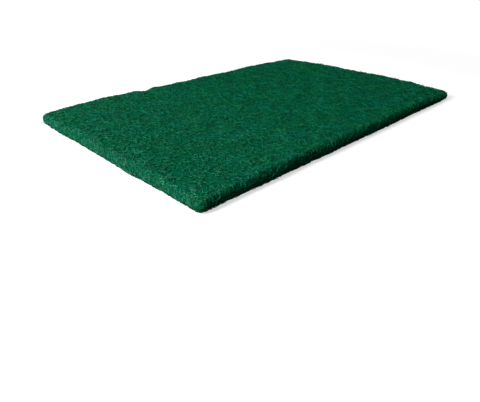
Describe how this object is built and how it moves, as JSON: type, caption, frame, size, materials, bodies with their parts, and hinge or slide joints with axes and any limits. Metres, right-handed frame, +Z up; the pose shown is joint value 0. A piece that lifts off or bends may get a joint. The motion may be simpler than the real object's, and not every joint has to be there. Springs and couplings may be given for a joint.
{
  "type": "nylon scouring pad",
  "caption": "Flat rectangular hand scouring pad of springy green nonwoven nylon web, with softly rounded cut edges.",
  "frame": {"origin": "under the middle of the pad, on the surface that it lies on", "axes": "+X along the long side, +Y along the short side towards the long edge with the nick, +Z up through the thickness"},
  "size_m": [0.2306, 0.1516, 0.0083],
  "materials": {
    "nylon_web": "matte"
  },
  "bodies": {
    "root": {"scouring_pad": "nylon_web"}
  },
  "joints": []
}
